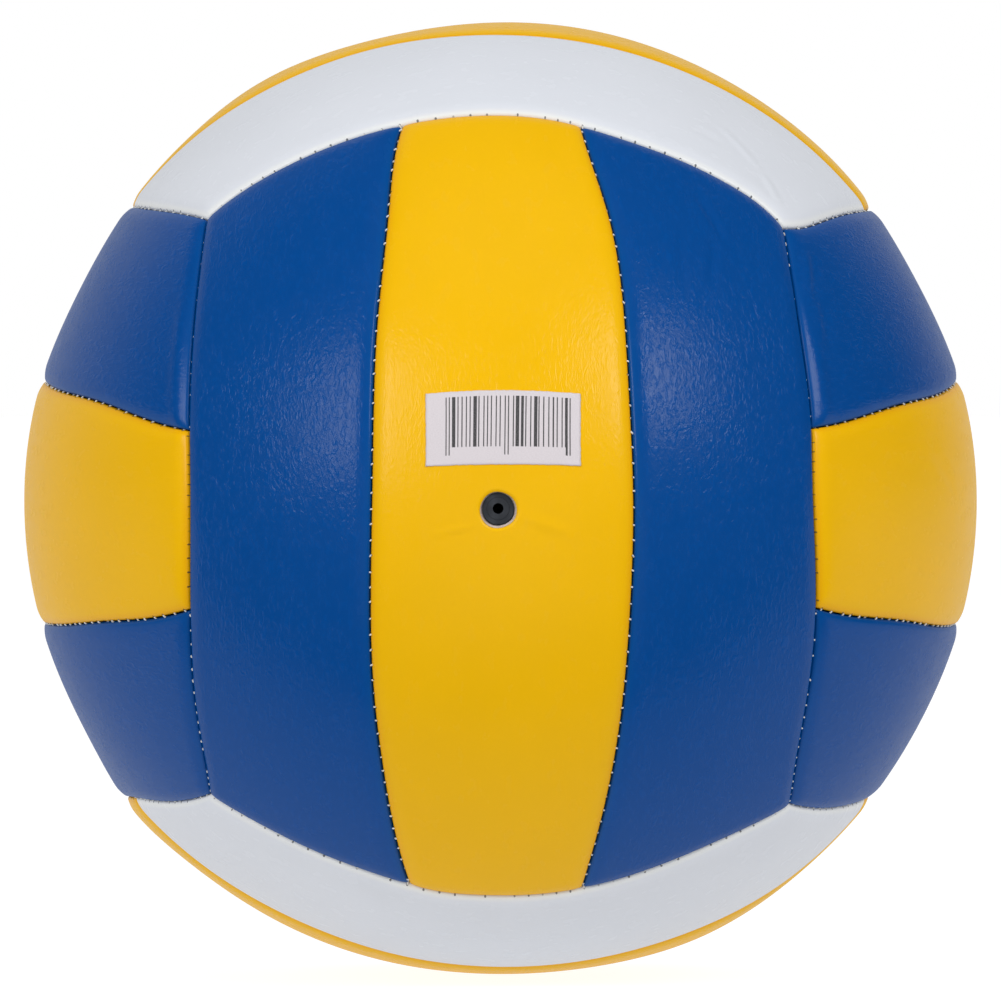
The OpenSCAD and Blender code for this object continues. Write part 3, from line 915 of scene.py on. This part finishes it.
def thread_material():
    s = Shader("sewing_thread", THREAD, 0.8, Sheen_Weight=0.3)
    place = s.place()
    twist = s.wave(place, TWIST_SCALE, distortion=1.5)
    colour = s.mix(s.noise(place, LINT_SCALE), *THREAD_TONES)
    return s.finish(Base_Color=colour, Normal=s.bump(twist, 0.4, TWIST_DEPTH))


def foam_material():
    s = Shader("foam_backing", FOAM, 0.95)
    inputs = {"Vector": s.place(), "Scale": CELL_SCALE}
    cells = s.add("ShaderNodeTexVoronoi", inputs).outputs["Distance"]
    colour = s.mix(cells, *FOAM_TONES)
    return s.finish(Base_Color=colour, Normal=s.bump(cells, 0.5, CELL_DEPTH))


def rubber_material(name, colour, grain_scale):
    """Black rubber with a little pale dust."""
    s = Shader(name, colour, 0.6)
    place = s.place()
    dust = s.noise(place, DUST_SCALE, detail=4.0)
    speck = s.noise(place, grain_scale)
    dusty = s.ramp(dust, 0.45, 0.75, 0.0, DUST_SHARE)
    base = s.mix(dusty, colour, tinted(colour, share=1.9, lift=0.01))
    rough = s.ramp(dust, 0.3, 0.7, *RUBBER_ROUGH)
    return s.finish(Base_Color=base, Roughness=rough, Normal=s.bump(speck, 0.35, SPECK_DEPTH))


def cloth_material():
    s = Shader("patch_cloth", CLOTH, 0.95, Sheen_Weight=0.2)
    place = s.place()
    warp = s.wave(place, WEAVE_SCALE, bands_direction="X")
    weft = s.wave(place, WEAVE_SCALE, bands_direction="Z")
    weave = s.math("MULTIPLY", warp, weft)
    colour = s.mix(weave, *CLOTH_TONES)
    return s.finish(Base_Color=colour, Normal=s.bump(weave, 0.6, WEAVE_DEPTH))


# The label, at the scale of the photograph's near side: its size, how high it lies above the
# valve and how far beside it, and how far its ends sag.
LABEL_W = 31.5
LABEL_H = 15.5
LABEL_RISE = 17.1
LABEL_BOW = 0.35
LABEL_SIDE = 0.5

# Its mesh: columns and rows, how far its two sides stand off the cover, how far its cut edge
# strays, in what waves and with what power towards it, and how far and from where its corners
# lift. The waves are a number, a bend and the number of bends.
LABEL_COLUMNS = 67
LABEL_ROWS = 35
LABEL_TOP = 0.15
LABEL_UNDER = 0.03
LABEL_ROUGH = 0.04
SIDE_WAVES = (23, 2, 9)
TOP_WAVES = (41, 3, 13)
EDGE_POWER = 8
LABEL_CURL = 0.12
LABEL_CURL_FROM = 1.75

# The bars printed on it, in millimetres from its middle.
BARS_SIDE = 1.1
BARS_REACH = 13.0
BARS_LOW = -4.0
BARS_LOWEST = -5.7
BARS_HIGH = 6.6

# One bar: its cell, the place of its middle and half its width as shares of the cell, the
# random numbers up to which it is narrow and from which it is wide, and how many at each end
# are long.
BAR_STEP = 0.87
BAR_PLACE = 0.35
BAR_STRAY = 0.3
BAR_WIDTHS = (0.13, 0.42)
NARROW_TO, WIDE_FROM = 0.62, 0.92
LONG_BARS = 1.5
BAR_SHUFFLE = 17.3
INK = (0.03, 0.03, 0.032)
INK_SCALE = (2.0, 2.0, 1.0)
PAPER = (0.8, 0.74, 0.78)
PAPER_TONES = (0.64, 0.59, 0.62), (0.74, 0.69, 0.72)
FIBRE_SCALE = (1.4, 4.0, 1.0)
FIBRE_DEPTH = 0.05 * MM


def bar_ink(s, place):
    """Where the plain bars are, which are of random widths and stand for nothing."""
    across, up, _ = s.split(place)
    across = s.math("SUBTRACT", across, BARS_SIDE)
    cells = s.math("DIVIDE", across, BAR_STEP)
    pick = s.random(s.math("FLOOR", cells))
    other = s.math("FRACT", s.math("MULTIPLY", pick, BAR_SHUFFLE))
    middle = s.math("ADD", s.math("MULTIPLY", other, BAR_STRAY), BAR_PLACE)
    offset = s.math("ABSOLUTE", s.math("SUBTRACT", s.math("FRACT", cells), middle))
    bar = s.math("LESS_THAN", offset, s.ramp(pick, NARROW_TO, WIDE_FROM, *BAR_WIDTHS))
    reach = s.math("ABSOLUTE", across)
    inside = s.math("LESS_THAN", reach, BARS_REACH)
    edge_bars = s.math("GREATER_THAN", reach, BARS_REACH - LONG_BARS * BAR_STEP)
    middle_bars = s.math("LESS_THAN", reach, BAR_STEP)
    long_bars = s.math("MAXIMUM", edge_bars, middle_bars)
    above = s.math("GREATER_THAN", up, s.ramp(long_bars, 0.0, 1.0, BARS_LOW, BARS_LOWEST))
    below = s.math("LESS_THAN", up, BARS_HIGH)
    return s.math("MULTIPLY", s.math("MULTIPLY", bar, inside), s.math("MULTIPLY", above, below))


def label_material():
    """White paper with plain printed bars, a little worn."""
    s = Shader("label_paper", PAPER, 0.7)
    place = s.read("label")
    worn = s.noise(s.scaled(place, INK_SCALE), 3.0, detail=4.0, roughness=0.7)
    ink = s.math("MULTIPLY", bar_ink(s, place), s.ramp(worn, 0.3, 0.55, 0.7, 1.0))
    fibre = s.noise(s.scaled(place, FIBRE_SCALE), 2.0, detail=5.0, roughness=0.65)
    paper = s.mix(s.ramp(fibre, 0.3, 0.7), *PAPER_TONES)
    colour = s.mix(ink, paper, INK)
    return s.finish(Base_Color=colour, Normal=s.bump(fibre, 0.4, FIBRE_DEPTH))


def edge_waves(t, waves, bend, bends):
    """How far a cut edge strays at places t along it, from -1 to 1."""
    return LABEL_ROUGH * np.sin(waves * t + bend * np.sin(bends * t))


def make_label(material):
    """A thin paper label that lies on the cover above the valve, with a rough cut edge."""
    build = Build()
    s = np.linspace(-1, 1, LABEL_COLUMNS)[:, None]
    t = np.linspace(-1, 1, LABEL_ROWS)[None, :]
    x = s * (LABEL_W / 2 + np.abs(s) ** EDGE_POWER * edge_waves(t, *SIDE_WAVES))
    z = t * (LABEL_H / 2 + np.abs(t) ** EDGE_POWER * edge_waves(s, *TOP_WAVES))
    lean = (z + LABEL_RISE - LABEL_BOW * s**2) / BALL_R
    round_it = (x + LABEL_SIDE) / BALL_R
    out = np.cos(round_it)
    p = BALL_R * np.stack([np.sin(round_it), -out * np.cos(lean), out * np.sin(lean)], axis=-1)
    corner = np.abs(s) + np.abs(t) - LABEL_CURL_FROM
    curl = LABEL_CURL * np.clip(corner, 0, 1) / (2 - LABEL_CURL_FROM)
    sides = [build.add(settle(p, -height - curl)) for height in (LABEL_TOP, LABEL_UNDER)]
    values = np.stack([x, z, np.zeros(x.shape)], axis=-1).reshape(-1, 3)
    build.sheet(sides[0], 1, True)
    build.band(rim(sides[0]), rim(sides[1]))
    build.sheet(sides[1], 1, False)
    label = build.object("plain_paper_label", {"label": np.vstack([values, values])})
    label.data.materials.append(material)
    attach(label, "root")
    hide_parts("paper_label")


def dress(node, material):
    """Gives a CAD node that stays its own material."""
    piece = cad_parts[node]
    for slot in piece.material_slots:
        slot.material = material


# The camera: its distance in metres, its angles about the ball, and its lens and sensor in
# millimetres.
CAMERA_DISTANCE = 1.344
CAMERA_RISE = math.radians(0.9)
CAMERA_SIDE = math.radians(0.27)
CAMERA_LENS = 218.6
CAMERA_SENSOR = 36
CAMERA_CLIP = 100


def make_camera():
    camera = bpy.data.cameras.new("camera")
    camera.lens = CAMERA_LENS
    camera.sensor_width = CAMERA_SENSOR
    camera.clip_end = CAMERA_CLIP
    piece = new_object("camera", camera)
    piece.location = (
        CAMERA_DISTANCE * math.sin(CAMERA_SIDE) * math.cos(CAMERA_RISE),
        -CAMERA_DISTANCE * math.cos(CAMERA_SIDE) * math.cos(CAMERA_RISE),
        CAMERA_DISTANCE * math.sin(CAMERA_RISE),
    )
    piece.rotation_euler = (math.pi / 2 - CAMERA_RISE, 0, CAMERA_SIDE)
    bpy.context.scene.camera = piece


# Soft boxes: direction from the ball in degrees (round from -Y towards +X, and up), width,
# height and distance in metres, and power. The matt ones show in no reflection.
LAMPS = {
    "right_box": (37, 28, 0.42, 0.62, 1.5, 6.4),
    "left_box": (-34, 20, 0.5, 0.68, 1.5, 6.4),
    "top_box": (0, 66, 1.0, 1.0, 1.5, 2.0),
    "front_box": (0, -12, 1.0, 1.0, 1.5, 2.4),
}
MATT_LAMPS = ("top_box", "front_box")

# The world: its level for matt surfaces, and for reflections in front of the ball and behind
# it. The bright side lies about this direction, between these shares of it.
MATT_LIGHT = 0.45
FRONT_LIGHT = 0.02
BACK_LIGHT = 1.0
BACKDROP_WAY = (-0.24, 0.97, 0.1)
BACKDROP_FROM = 0.2
BACKDROP_FULL = 0.9

# The floor: its light as seen and as it lights matt surfaces, its corners in metres, and how
# its light falls off along Y in front of the ball, to what share.
FLOOR_LIGHT = 0.9
FLOOR_MATT_LIGHT = 0.64
FLOOR_COLOUR = (0.2, 0.2, 0.2)
FLOOR_FRONT = -0.15
FLOOR_BACK = 60
FLOOR_SIDE = 30
FLOOR_DARK_Y = -0.18
FLOOR_FULL_Y = -0.065
FLOOR_DARK = 0.1


def make_lamps():
    for name, (round_deg, up_deg, width, height, distance, power) in LAMPS.items():
        lamp = bpy.data.lights.new(name, "AREA")
        lamp.shape = "RECTANGLE"
        lamp.size = width
        lamp.size_y = height
        lamp.energy = power
        piece = new_object(name, lamp)
        turn, up = math.radians(round_deg), math.radians(up_deg)
        flat = math.cos(up)
        out = np.array([math.sin(turn) * flat, -math.cos(turn) * flat, math.sin(up)])
        piece.location = out * distance
        piece.rotation_euler = (math.pi / 2 - up, 0, turn)
        piece.visible_camera = False
        piece.visible_glossy = name not in MATT_LAMPS


def make_world():
    """A studio with a white backdrop behind the ball and a dark side in front of it. The
    camera sees plain white, and matt surfaces are lit by an even grey."""
    world = bpy.data.worlds.new("studio")
    world.use_nodes = True
    # The world isn't sampled as a lamp, so that reflections see its dark side.
    world.cycles.sampling_method = "NONE"
    bpy.context.scene.world = world
    w = Nodes(world.node_tree)
    path = w.add("ShaderNodeLightPath").outputs
    way = w.add("ShaderNodeTexCoord").outputs["Generated"]
    behind = w.add("ShaderNodeVectorMath", {0: way, 1: BACKDROP_WAY}, operation="DOT_PRODUCT")
    behind = behind.outputs["Value"]
    backdrop = w.ramp(behind, BACKDROP_FROM, BACKDROP_FULL, FRONT_LIGHT, BACK_LIGHT)
    inputs = {"Factor": path["Is Glossy Ray"], "A": MATT_LIGHT, "B": backdrop}
    glossy = w.add("ShaderNodeMix", inputs, data_type="FLOAT").outputs[0]
    seen = w.math("MAXIMUM", path["Is Camera Ray"], path["Is Transmission Ray"])
    background = w.tree.nodes["Background"].inputs
    w.link(w.math("MAXIMUM", glossy, seen), background["Strength"])
    w.link((1, 1, 1, 1), background["Color"])


def make_floor():
    """A white floor lit so evenly that it shows plain white, with a faint shadow. Its light
    falls off in front of the ball, where the camera doesn't see it."""
    front = [(-FLOOR_SIDE, FLOOR_FRONT), (FLOOR_SIDE, FLOOR_FRONT)]
    back = [(FLOOR_SIDE, FLOOR_BACK), (-FLOOR_SIDE, FLOOR_BACK)]
    mesh = bpy.data.meshes.new("floor")
    mesh.from_pydata([(x, y, -BALL_R * MM) for x, y in front + back], [], [[0, 1, 2, 3]])
    floor = new_object("floor", mesh)
    s = Shader("floor", FLOOR_COLOUR, 0.9, Emission_Color=(1, 1, 1, 1))
    _, depth, _ = s.split(s.place())
    path = s.add("ShaderNodeLightPath").outputs
    seen = s.math("MAXIMUM", path["Is Glossy Ray"], path["Is Transmission Ray"])
    seen = s.math("MAXIMUM", path["Is Camera Ray"], seen)
    level = s.ramp(seen, 0.0, 1.0, FLOOR_MATT_LIGHT, FLOOR_LIGHT)
    falloff = s.ramp(depth, FLOOR_DARK_Y, FLOOR_FULL_Y, FLOOR_DARK, 1.0)
    strength = s.math("MULTIPLY", level, falloff)
    floor.data.materials.append(s.finish(Emission_Strength=strength))


# How strongly the painted shade of the needle holes shows in the light covers. The dark ones get
# none.
HOLE_SHADE_SHOWN = 0.8


def make_ball():
    covers = {
        "yellow_cover": cover_material("yellow_cover", YELLOW, YELLOW_EDGE_SHADE, HOLE_SHADE_SHOWN),
        "blue_cover": cover_material("blue_cover", BLUE, BLUE_EDGE_SHADING, 0.0),
        "white_cover": cover_material("white_cover", WHITE, WHITE_EDGE_HIGHLIGHT, HOLE_SHADE_SHOWN),
    }
    foam = foam_material()
    thread = thread_material()
    number = 0
    for face, strips in STRIPS.items():
        for place, strip in strips.items():
            side = "blue_cover" if face in BLUE_FACES else "white_cover"
            key = "yellow_cover" if strip == 0 else side
            make_panel(face, place, strip, number, covers[key], foam)
            number += 1
        make_threads(face, thread)
    make_label(label_material())
    dress("bladder", rubber_material("bladder_rubber", BLADDER_RUBBER, BLADDER_SCALE))
    valve = rubber_material("valve_rubber", VALVE_RUBBER, VALVE_SCALE)
    dress("valve_housing", valve)
    dress("valve_core", valve)
    dress("valve_patch", cloth_material())


make_camera()
make_lamps()
make_world()
make_floor()
make_ball()
bpy.context.scene.view_settings.view_transform = "Standard"
